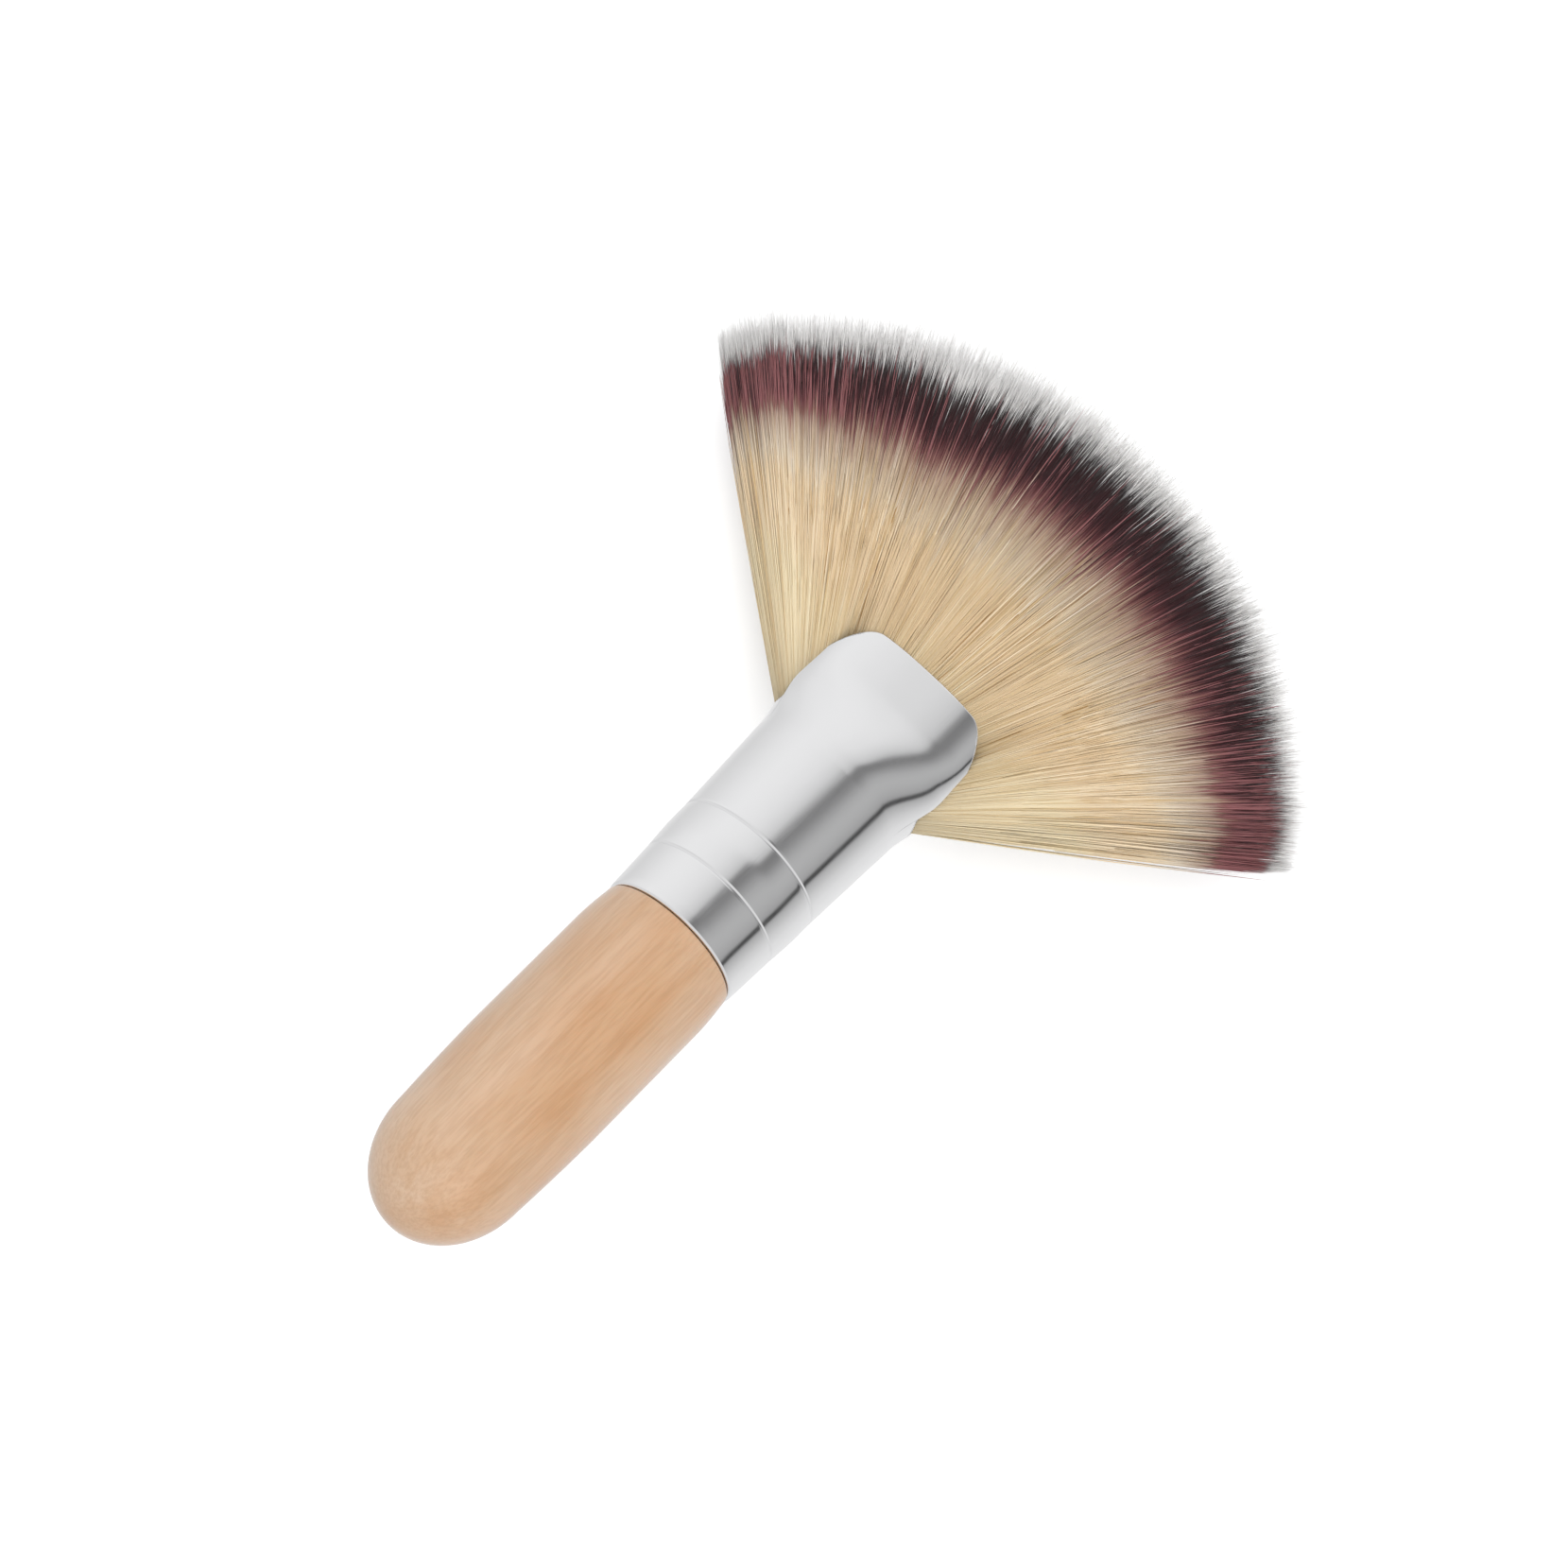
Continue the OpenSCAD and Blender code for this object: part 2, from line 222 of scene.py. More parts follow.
class FanBrushSizes(bpy.types.PropertyGroup):
    """Sizes of the brush, the same as those of its solids."""

    pitch: angle("Pitch", 1.12, "How far the hair end is tipped up as the brush lies")
    ferrule_r: length("Ferrule radius", 6.75, "Outer radius at the lower edge")
    flare: number("Ferrule flare", 0.0447, "Growth in radius per unit of length")
    wall: length("Sheet", 0.4, "Thickness of the ferrule's sheet")
    lip_z: length("Lip height", 32, "Height of the lip above the lower edge")
    press_z: length("Press start", 19.5, "Height at which the tube starts to flatten")
    crease_z: length("Crease", 28, "Height at which the pressed faces turn parallel")
    widen_len: length("Widening", 5.5, "Length over which the mouth gets its full width")
    mouth_w: length("Mouth width", 17, "Width across the pressed mouth")
    mouth_t: length("Mouth thickness", 9.2, "Thickness across the pressed mouth")
    mouth_n: number("Mouth squareness", 2.8, "Exponent of the mouth's section")
    slot_z: length("Slot bottom", 21.9, "Height of the bottom of the side slots")
    slot_gap: length("Slot gap", 4, "Gap of the side slots")
    corner_w: length("Corner width", 3.3, "Width of the mouth's rounded corners")
    corner_h: length("Corner height", 6.2, "Height of the mouth's rounded corners")
    lip_bow: length("Lip bow", 0.2, "Rise of the lip in the middle")
    groove_low: length("Lower groove", 4.9, "Height of the lower groove")
    groove_high: length("Upper groove", 9.8, "Height of the upper groove")
    groove_w: length("Groove width", 0.35, "Width of the two grooves")
    groove_d: length("Groove depth", 0.11, "Depth of the two grooves")
    bead: length("Bead", 0.07, "Rise of the low bead between the grooves")
    edge_roll: length("Rolled edge", 0.3, "How far the lower edge is rolled in")
    handle_len: length("Handle length", 33.2, "Length of the handle below the ferrule")
    grip_r: length("Grip radius", 6.92, "Radius of the straight grip")
    grip_top: length("Grip top", 4, "Depth at which the straight grip starts")
    grip_end: length("Grip end", 16, "Depth at which the straight grip ends")
    neck_r: length("Neck radius", 6.66, "Radius just below the ferrule")
    dome_r: length("Dome radius", 6.6, "Radius where the domed end starts")
    dome_len: length("Dome length", 8, "Length of the domed end")
    tenon_len: length("Tenon length", 14, "Length of the tenon inside the ferrule")
    fan_z: length("Fan centre", 15.9, "Height of the point the hairs fan out from")
    fan_half: angle("Fan half angle", 50.5, "Half of the fan's opening angle")
    fan_r: length("Fan radius", 48, "Radius of the fan at its middle")
    fan_drop: length("Fan drop", 3, "How much shorter the fan is at its edges")
    fan_lean: length("Fan lean", 0.7, "How much longer the left edge's hairs are")
    fan_t: length("Fan thickness", 10, "Thickness of the fan at its middle")
    fan_edge_t: length("Fan edge thickness", 7.4, "Thickness beside its edges")
    edge_half: angle("Edge width", 6.5, "Width of the fan's rounded edges")
    edge_share: number("Edge share", 0.13, "Part of the hairs that cover the edges")
    core_bend: number("Core bend", 0.76, "Part of the fan's radius where the core rounds off")
    core_end: number("Core end", 0.87, "Part of the fan's radius where the core ends")
    core_pale: number("Core pale", 0.045, "How much sooner the dye ends in the core's middle")
    swell_len: length("Swell", 7, "Length over which the freed hair swells")
    hair_d: length("Hair thickness", 0.12, "Thickness of one hair, drawn to show")
    outer_hairs: count("Outer hairs", 5600, "Hairs in each of the two outer layers")
    inner_hairs: count("Inner hairs", 5200, "Hairs in each of the two inner layers")
    tip_hairs: count("Tip hairs", 11000, "Short hairs that fill the fan's soft edge")
    middle_hairs: count("Middle hairs", 7000, "Short hairs that fill the fan's end")
    lock_count: count("Locks", 220, "Locks that the hairs of a layer gather in")


class FanBrushColours(bpy.types.PropertyGroup):
    """Colours of the brush."""

    wood: colour("Wood", "bba087", "Varnished birch")
    wood_streak: colour("Wood streak", "b08b65", "Honey streaks in the birch")
    aluminium: colour("Aluminium", "f2f2f3", "Polished aluminium")
    cream: colour("Cream hair", "f8e6c8", "Hair from the mouth to the band")
    cream_root: colour("Cream hair at the root", "f8eaca", "Hair beside the ferrule")
    band: colour("Dark band", "3f2528", "Dark brown band")
    tip: colour("White tips", "fbfaf9", "Bleached tips")
    glue: colour("Glue", "cdb87f", "Amber epoxy")


def sizes():
    """The sizes of the scene's brush."""
    return bpy.context.scene.fan_brush_sizes


def colours():
    """The colours of the scene's brush."""
    return bpy.context.scene.fan_brush_colours


def ease(s):
    """Smooth step: 3 s^2 - 2 s^3 with s held between 0 and 1."""
    s = np.clip(s, 0, 1)
    return s * s * (3 - 2 * s)


def power(v, e):
    """|v| to the power e, with the sign of v."""
    return np.sign(v) * np.abs(v) ** e


def lay_down(x, up, along):
    """Turns brush coordinates into the frame's: x across the fan, up out of
    its front face, along the axis from the ferrule's lower edge. The axis is
    pitched, and moved so that the brush rests on the floor."""
    s = sizes()
    axis_h = (s.ferrule_r + s.flare * s.press_z) * math.cos(s.pitch)
    axis_h -= s.press_z * math.sin(s.pitch)
    middle = (s.fan_z + s.fan_r - s.handle_len) / 2 * math.cos(s.pitch)
    x, up, along = np.broadcast_arrays(x, up, along)
    y = along * math.cos(s.pitch) - up * math.sin(s.pitch) - middle
    z = up * math.cos(s.pitch) + along * math.sin(s.pitch) + axis_h
    return np.stack([x, y, z], axis=-1)


def add_object(name, data):
    """An object in the scene, over a mesh, a camera or a light."""
    thing = bpy.data.objects.new(name, data)
    bpy.context.scene.collection.objects.link(thing)
    return thing


def mesh_piece(name, points, faces, material, uv=None):
    """A smooth mesh object from whole arrays: points (n, 3), a list of arrays
    with a face's corner indices in each row, and a uv pair for each point."""
    mesh = bpy.data.meshes.new(name)
    points = np.ascontiguousarray(points, dtype=np.float32)
    corners = np.concatenate([part.ravel() for part in faces]).astype(np.int32)
    face_sizes = np.concatenate([np.full(len(part), part.shape[1]) for part in faces])
    mesh.vertices.add(len(points))
    mesh.vertices.foreach_set("co", points.ravel())
    mesh.loops.add(len(corners))
    mesh.loops.foreach_set("vertex_index", corners)
    mesh.polygons.add(len(face_sizes))
    starts = np.concatenate([[0], np.cumsum(face_sizes)[:-1]]).astype(np.int32)
    mesh.polygons.foreach_set("loop_start", starts)
    mesh.polygons.foreach_set("use_smooth", np.ones(len(face_sizes), dtype=bool))
    if uv is not None:
        layer = mesh.uv_layers.new(name="UVMap")
        values = np.ascontiguousarray(uv[corners], dtype=np.float32)
        layer.data.foreach_set("uv", values.ravel())
    mesh.update(calc_edges=True)
    if mesh.validate():
        raise RuntimeError(f"{name} has broken faces")
    mesh.materials.append(material)
    return add_object(name, mesh)


def ring_faces(rows, columns, close_rows=False):
    """Corner indices of the four-sided faces of a grid of rows whose columns
    close on themselves, and whose last row joins the first if close_rows."""
    i = np.arange(rows if close_rows else rows - 1)[:, None]
    j = np.arange(columns)[None, :]
    here, beside = i * columns + j, i * columns + (j + 1) % columns
    above = ((i + 1) % rows) * columns + j
    above_beside = ((i + 1) % rows) * columns + (j + 1) % columns
    return np.stack([here, beside, above_beside, above], axis=-1).reshape(-1, 4)


def rgba(shade):
    """A node's colour from an sRGB hex colour or from linear red, green, blue."""
    return (*(linear(shade) if isinstance(shade, str) else shade), 1)


def add_node(tree, kind, settings=None, inputs=None, stops=(), steps="LINEAR"):
    """Adds a shader node. settings are its properties by name. inputs go by
    name or number, and each is an output socket to link, or a plain value.
    stops are a ramp's pairs of a place and a colour, and steps is how the
    ramp goes from one to the next."""
    node = tree.nodes.new("ShaderNode" + kind)
    for name, value in (settings or {}).items():
        setattr(node, name, value)
    for key, value in (inputs or {}).items():
        socket = node.inputs[key]
        if isinstance(value, bpy.types.NodeSocket):
            tree.links.new(value, socket)
        else:
            socket.default_value = rgba(value) if socket.type == "RGBA" else value
    if stops:
        node.color_ramp.interpolation = steps
        elements = node.color_ramp.elements
        while len(elements) < len(stops):
            elements.new(1.0)
        for element, (place, shade) in zip(elements, stops):
            element.position = place
            element.color = rgba(shade)
    return node


def new_material(name):
    """An empty node material, its tree, and the output's surface input."""
    material = bpy.data.materials.new(name)
    material.use_nodes = True
    tree = material.node_tree
    tree.nodes.clear()
    output = tree.nodes.new("ShaderNodeOutputMaterial")
    return material, tree, output.inputs["Surface"]


def grain(tree, across, along, **settings):
    """Noise whose figures are that many millimetres wide and long, drawn out
    along the brush: the coordinates are turned so that y runs along its axis."""
    where = add_node(tree, "TexCoord").outputs["Object"]
    turn = {"Rotation": (-sizes().pitch, 0, 0), "Vector": where}
    turned = add_node(tree, "Mapping", inputs=turn).outputs["Vector"]
    scale = (1 / (across * MM), 1 / (along * MM), 1 / (across * MM))
    times = {"operation": "MULTIPLY"}
    scaled = add_node(tree, "VectorMath", times, {0: turned, 1: scale}).outputs[0]
    settings = {"Scale": 1.0, "Vector": scaled, **settings}
    return add_node(tree, "TexNoise", inputs=settings).outputs["Fac"]


def varnished_birch():
    """Turned birch under clear satin varnish: pale, with soft honey streaks a
    few millimetres apart and finer pores, all drawn out along the handle, and
    a thin glossy coat that softens the highlights."""
    material, tree, surface = new_material("varnished_birch")
    # Streaks 2.2 mm apart across the grain and about 30 mm long
    streaks = grain(tree, 2.2, 30, Detail=3.0, Roughness=0.5, Distortion=0.4)
    # Pores 0.25 mm wide and 4 mm long
    pores = grain(tree, 0.25, 4, Detail=2.0, Roughness=0.6)
    # Faint clouds 9 mm wide, where the figure of the birch turns
    clouds = grain(tree, 9, 14, Detail=1.0)
    c = colours()
    part = add_node(
        tree,
        "MapRange",
        inputs={"Value": streaks, "From Min": 0.42, "From Max": 0.78, "To Min": 0.0, "To Max": 0.8},
    ).outputs["Result"]
    base = add_node(tree, "Mix", MIXED, {0: part, 6: c.wood, 7: c.wood_streak}).outputs[2]
    shade = add_node(
        tree, "ValToRGB", inputs={"Fac": pores}, stops=[(0.35, "e9e2d8"), (0.6, WHITE)]
    ).outputs["Color"]
    base = add_node(tree, "Mix", MULTIPLIED, {0: 0.55, 6: base, 7: shade}).outputs[2]
    warm = add_node(
        tree, "ValToRGB", inputs={"Fac": clouds}, stops=[(0.35, WHITE), (0.7, "f6e3cb")]
    ).outputs["Color"]
    base = add_node(tree, "Mix", MULTIPLIED, {0: 1.0, 6: base, 7: warm}).outputs[2]
    bump = add_node(
        tree, "Bump", inputs={"Strength": 0.06, "Distance": 0.05 * MM, "Height": pores}
    ).outputs["Normal"]
    shader = add_node(
        tree,
        "BsdfPrincipled",
        inputs={
            "Base Color": base,
            "Normal": bump,
            "Roughness": 0.42,
            "IOR": 1.5,
            "Coat Weight": 1.0,
            "Coat Roughness": 0.22,
            "Subsurface Weight": 0.08,
            "Subsurface Scale": 1.5 * MM,
        },
    )
    tree.links.new(shader.outputs[0], surface)
    return material


def polished_aluminium():
    """Drawn aluminium polished bright: a clear mirror with a slight haze from
    the polishing, and faint fine lines along the tube."""
    material, tree, surface = new_material("polished_aluminium")
    # Polishing lines 0.08 mm apart and 6 mm long, drawn coarser than the real ones
    lines = grain(tree, 0.08, 6, Detail=2.0)
    rough = add_node(
        tree,
        "MapRange",
        inputs={"Value": lines, "From Min": 0.3, "From Max": 0.7, "To Min": 0.09, "To Max": 0.15},
    ).outputs["Result"]
    shader = add_node(
        tree,
        "BsdfPrincipled",
        inputs={"Metallic": 1.0, "Base Color": colours().aluminium, "Roughness": rough},
    )
    tree.links.new(shader.outputs[0], surface)
    return material


def banded_hair():
    """Dyed goat hair: cream, a dark brown band, then bleached tips. The uv map
    holds a number of the hair's own as u, and as v how far out along the
    fan's radius the point is. Each hair has its own tone."""
    material, tree, surface = new_material("banded_goat_hair")
    c = colours()
    uv = add_node(tree, "UVMap", {"uv_map": "UVMap"}).outputs["UV"]
    split = add_node(tree, "SeparateXYZ", inputs={"Vector": uv}).outputs
    # The cream darkens from 0.60 to 0.695 before the band: partly the dye's own fade, partly painted
    # shade on the outer cream
    dye_and_painted_shade = add_node(
        tree,
        "ValToRGB",
        inputs={"Fac": split[1]},
        stops=[
            (0.30, c.cream_root), (0.42, c.cream), (0.54, c.cream), (0.60, "eee1cd"),
            (0.65, "dfcfbd"), (0.695, "c9b0a1"), (0.725, "986d66"), (0.758, "683c3f"),
            (0.785, c.band), (0.83, c.band), (0.853, "3a3030"), (0.868, "575353"),
            (0.884, "c0bebe"), (0.898, "f2f0ee"), (0.93, c.tip),
        ],
    ).outputs["Color"]
    # Eight tones of hair, from bleached to golden, picked by u
    tone = add_node(
        tree,
        "ValToRGB",
        inputs={"Fac": split[0]},
        stops=[
            (0.0, "ffffff"), (0.16, "fdfbf8"), (0.30, "f2ebe1"), (0.45, "eee7dc"),
            (0.60, "f3eadd"), (0.75, "eae0d0"), (0.90, "e7dbc4"), (0.985, "c3a67e"),
        ],
        steps="CONSTANT",
    ).outputs["Color"]
    # Golden tones belong to the cream stretch and the tips stay neutral
    in_cream = add_node(
        tree, "ValToRGB", inputs={"Fac": split[1]}, stops=[(0.68, WHITE), (0.74, BLACK)]
    ).outputs["Color"]
    toned = add_node(tree, "Mix", MULTIPLIED, {0: 1.0, 6: dye_and_painted_shade, 7: tone}).outputs[2]
    base = add_node(tree, "Mix", MIXED, {0: in_cream, 6: dye_and_painted_shade, 7: toned}).outputs[2]
    # The hairs with a low u are pale in the band, a87072: some took less of the dye at random, and the
    # extra ones near the fan's edges are painted light on the band's two ends
    in_band = add_node(
        tree,
        "ValToRGB",
        inputs={"Fac": split[1]},
        stops=[(0.71, BLACK), (0.74, WHITE), (0.868, WHITE), (0.886, BLACK)],
    ).outputs["Color"]
    pale_dye_and_edge_light = add_node(
        tree,
        "ValToRGB",
        inputs={"Fac": split[0]},
        stops=[(0.0, WHITE), (LITTLE_DYE_U, BLACK)],
        steps="CONSTANT",
    ).outputs["Color"]
    pale = add_node(tree, "Mix", MULTIPLIED, {0: 1.0, 6: in_band, 7: pale_dye_and_edge_light}).outputs[2]
    base = add_node(tree, "Mix", MIXED, {0: pale, 6: base, 7: "a87072"}).outputs[2]
    shader = add_node(
        tree,
        "BsdfPrincipled",
        inputs={"Base Color": base, "Roughness": 0.5, "IOR": 1.5, "Specular IOR Level": 0.25},
    )
    # Fine hair lets some of the light through
    through = add_node(tree, "BsdfTranslucent", inputs={"Color": base})
    shaders = {0: 0.35, 1: shader.outputs[0], 2: through.outputs[0]}
    both = add_node(tree, "MixShader", inputs=shaders)
    tree.links.new(both.outputs[0], surface)
    return material


def amber_epoxy():
    """Cast epoxy, clear amber and glossy, with a few bubbles' worth of cloud."""
    material, tree, surface = new_material("amber_epoxy")
    # Clouds 1.5 mm across
    cloud = grain(tree, 1.5, 1.5, Detail=2.0)
    base = add_node(tree, "Mix", MIXED, {0: cloud, 6: colours().glue, 7: "b79b5c"}).outputs[2]
    shader = add_node(
        tree, "BsdfPrincipled", inputs={"Base Color": base, "Roughness": 0.25, "IOR": 1.55}
    )
    tree.links.new(shader.outputs[0], surface)
    return material


def tube_radius(z):
    """The ferrule's radius grows in a straight line up to press_z."""
    s = sizes()
    return s.ferrule_r + s.flare * np.minimum(z, s.press_z)


def press(z):
    """How far the tube is pressed flat at height z; the straight part leaves
    the crease."""
    s = sizes()
    q = np.clip((z - s.press_z) / (s.crease_z - s.press_z), 0, 1)
    return PRESS_EASE * ease(q) + PRESS_STRAIGHT * q


def half_width(z):
    """Half of the section's width at height z."""
    s = sizes()
    gain = s.mouth_w / 2 - tube_radius(s.press_z)
    return tube_radius(z) + gain * ease((z - s.press_z) / s.widen_len)


def half_thickness(z):
    """Half of the section's thickness at height z."""
    s = sizes()
    return tube_radius(z) + (s.mouth_t / 2 - tube_radius(s.press_z)) * press(z)


def squareness(z):
    """Exponent of the section at height z: 2 is round."""
    return 2 + (sizes().mouth_n - 2) * press(z)


def section(z, t, inset):
    """Point of the ferrule's section, a superellipse, at height z and angle t:
    x = a cos(t)^(2/n), up = b sin(t)^(2/n), with inset taken off a and b."""
    n = squareness(z)
    x = (half_width(z) - inset) * power(np.cos(t), 2 / n)
    up = (half_thickness(z) - inset) * power(np.sin(t), 2 / n)
    return x, up, z + 0 * x


def section_up(z, x, inset):
    """Half thickness of the section at height z and a distance x from its middle."""
    n = squareness(z)
    q = np.minimum(1, np.abs(x) / (half_width(z) - inset))
    return (half_thickness(z) - inset) * (1 - q**n) ** (1 / n)


def cut_edge(t):
    """Height of the mouth's cut edge at angle t: the slot's rounded bottom at
    the sides, and the lip with its rounded corners in front and behind."""
    s = sizes()
    x, up, _ = section(s.lip_z + 0 * t, t, 0)
    slot = np.abs(up) / (s.slot_gap / 2)
    bottom = s.slot_z + SLOT_ROUND * (1 - np.sqrt(np.clip(1 - slot**2, 0, 1)))
    k = np.clip((np.abs(x) - s.mouth_w / 2 + s.corner_w) / s.corner_w, 0, 1)
    drop = s.corner_h * (1 - (1 - k**CORNER_POWER) ** (1 / CORNER_POWER))
    lip = s.lip_z - s.lip_bow * (x * 2 / s.mouth_w) ** 2 - drop
    return np.where(slot < 1, bottom, lip)


def ferrule_angles():
    """Angles of the ferrule's columns, closest together beside the slots."""
    s = sizes()
    slot_t = math.asin((s.slot_gap / s.mouth_t) ** (s.mouth_n / 2))
    below = slot_t * np.sin(np.linspace(0, 1, 14)[:-1] * math.pi / 2)
    # One column lies just inside the slot's edge, and one just outside
    below = np.append(below, slot_t * 0.997)
    above = slot_t * 1.003 + (math.pi / 2 - slot_t * 1.003) * np.linspace(0, 1, 44) ** 1.25
    quarter = np.concatenate([below, above])
    half = np.concatenate([quarter, math.pi - quarter[-2::-1]])
    return np.concatenate([half[:-1], half[:-1] + math.pi])


def ferrule_tube_rows():
    """Heights and insets of the rows of the round tube: the rolled lower edge
    as a quarter circle, the two grooves as cosine dips, the bead between."""
    s = sizes()
    turn = np.linspace(0, math.pi / 2, 7)
    roll_z = s.edge_roll * (1 - np.cos(turn))
    roll_in = s.edge_roll * (1 - np.sin(turn))
    dip = np.linspace(-1, 1, 13)
    dip_in = s.groove_d * np.cos(dip * math.pi / 2) ** 2
    q = np.linspace(0, 1, 14)[1:-1]
    between = s.groove_low + s.groove_w / 2
    gap = s.groove_high - s.groove_low - s.groove_w
    z = np.concatenate(
        [
            roll_z,
            np.linspace(1 * MM, s.groove_low - s.groove_w / 2 - 0.1 * MM, 4),
            s.groove_low + dip * s.groove_w / 2,
            between + q * gap,
            s.groove_high + dip * s.groove_w / 2,
            np.linspace(s.groove_high + s.groove_w, s.press_z, 14),
        ]
    )
    inset = np.concatenate(
        [roll_in, np.zeros(4), dip_in, -s.bead * np.sin(q * math.pi), dip_in, np.zeros(14)]
    )
    return z, inset


def ferrule_piece():
    """The pressed tube as one closed sheet: up the outside, over the rounded
    cut edge, and down the inside. Above press_z each column's rows are spread
    evenly up to that column's cut edge."""
    s = sizes()
    t = ferrule_angles()[None, :]
    top = cut_edge(t)
    tube_z, tube_in = ferrule_tube_rows()
    parts = [section(tube_z[:, None] + 0 * t, t, tube_in[:, None])]
    rise = np.linspace(0, 1, 60)[1:-1, None]
    parts.append(section(s.press_z + rise * (top - s.press_z), t, 0))
    bend = np.linspace(0, math.pi, 9)[:, None]
    edge_in = s.wall / 2 * (1 - np.cos(bend))
    edge_z = top - s.wall / 2 * (1 - np.sin(bend))
    parts.append(section(edge_z, t, edge_in))
    fall = np.linspace(1, 0, 24)[1:, None]
    parts.append(section(s.press_z + fall * (top - s.press_z), t, s.wall))
    down = np.linspace(s.press_z, 0, 5)[1:, None]
    parts.append(section(down + 0 * t, t, s.wall))
    x, up, z = (np.concatenate([p[k] for p in parts]) for k in range(3))
    faces = ring_faces(*x.shape, close_rows=True)
    points = lay_down(x, up, z).reshape(-1, 3)
    return mesh_piece("ferrule_polished", points, [faces], polished_aluminium())


def handle_profile():
    """Radius and height of the handle's outline, from the tenon's top to the
    end of the dome: the tenon, the rounded shoulder, a short swell to the
    straight grip, an easy taper, and half an ellipse."""
    s = sizes()
    tenon_r = s.ferrule_r - s.wall - TENON_GAP
    seat = -GAP
    turn = np.linspace(0, math.pi / 2, 10)
    shoulder_r = s.neck_r - SHOULDER_IN + SHOULDER_IN * np.sin(turn)
    shoulder_z = seat - SHOULDER_LEN * (1 - np.cos(turn))
    q = np.linspace(0, 1, 16)[1:]
    swell_r = s.neck_r + (s.grip_r - s.neck_r) * np.sin(q * math.pi / 2)
    swell_z = shoulder_z[-1] - (s.grip_top + shoulder_z[-1]) * q
    taper = np.linspace(0, 1, 24)
    taper_r = s.grip_r + (s.dome_r - s.grip_r) * taper**TAPER_POWER
    taper_z = -s.grip_end - (s.handle_len - s.dome_len - s.grip_end) * taper
    a = np.linspace(0, math.pi / 2, 40)[1:-1]
    dome_r = s.dome_r * np.cos(a)
    dome_z = s.dome_len - s.handle_len - s.dome_len * np.sin(a)
    r = [[tenon_r - TENON_CHAMFER, tenon_r, tenon_r], shoulder_r, swell_r]
    z = [[s.tenon_len, s.tenon_len - TENON_CHAMFER_LEN, seat], shoulder_z, swell_z]
    r += [np.full(8, s.grip_r), taper_r, dome_r]
    z += [np.linspace(-s.grip_top, -s.grip_end, 10)[1:-1], taper_z, dome_z]
    return np.concatenate(r), np.concatenate(z)


def handle_piece():
    """The handle's outline turned round the axis: x = r cos(t), up = r sin(t),
    closed by one point at each end."""
    s = sizes()
    r, z = handle_profile()
    columns = 144
    t = np.linspace(0, 2 * math.pi, columns, endpoint=False)[None, :]
    points = lay_down(r[:, None] * np.cos(t), r[:, None] * np.sin(t), z[:, None] + 0 * t)
    rows = len(r)
    quads = ring_faces(rows, columns)[:, ::-1]
    ends = lay_down(np.zeros(2), np.zeros(2), np.array([s.tenon_len, -s.handle_len]))
    j = np.arange(columns)
    near, far = rows * columns, rows * columns + 1
    cap = np.stack([np.full(columns, near), j, (j + 1) % columns], axis=-1)
    last = (rows - 1) * columns
    tip = np.stack([np.full(columns, far), last + (j + 1) % columns, last + j], axis=-1)
    points = np.concatenate([points.reshape(-1, 3), ends])
    return mesh_piece("handle_turned", points, [quads, cap, tip], varnished_birch())


def fan_outline(a):
    """Radius of the fan in direction a, shorter toward the two edges."""
    s = sizes()
    return s.fan_r - s.fan_drop * (a / s.fan_half) ** 2


def dye_place(a, r):
    """Place along a hair as the dye follows it, BAND_END at the band's outer
    end. The band lies at nearly the same radius all the way round, narrower
    toward the fan's two edges, and one slipped lock has it lower."""
    s = sizes()
    q = a / s.fan_half
    line = s.fan_r - DYE_IN + DYE_TILT * q - DYE_EDGE_IN * q**2
    line = line - SLIP * np.exp(-(((a + SLIP_AT) / SLIP_WIDTH) ** 2))
    return BAND_END + (r / line - BAND_END) * (1 + BAND_NARROW * q**4)


def leave_radius(a):
    """Radius at which a hair leaves the ferrule, through the lip or a slot."""
    s = sizes()
    side = (s.mouth_w / 2 - s.wall) / np.maximum(np.sin(np.abs(a)), 0.01)
    return np.minimum((s.lip_z - s.fan_z) / np.cos(a), side)


def edge_round(a):
    """Closing of the fan's two edges, as a quarter circle."""
    s = sizes()
    k = np.clip((np.abs(a) - s.fan_half + s.edge_half) / s.edge_half, 0, 1)
    return np.sqrt(1 - k * k)


def fan_up(a, r):
    """Half thickness of the fan in direction a at radius r: as the ferrule
    lets it out, then swelling to its full thickness."""
    s = sizes()
    r_out = leave_radius(a)
    seat = section_up(s.lip_z, r_out * np.sin(a), s.wall + GAP)
    out = np.maximum(s.slot_gap / 2 - GAP, seat)
    crown = np.clip(1 - (a / s.fan_half) ** 2, 0, 1) ** CROWN_POWER
    full = s.fan_edge_t / 2 + (s.fan_t - s.fan_edge_t) / 2 * crown
    free = np.maximum(0, r - r_out - SWELL_START)
    corner = (np.abs(a) - LIP_CORNER) / LIP_CORNER_WIDTH
    swell = s.swell_len * (1 - LIP_CORNER_GAIN * np.exp(-(corner**2)))
    return edge_round(a) * (out + (full - out) * (1 - np.exp(-free / swell)))


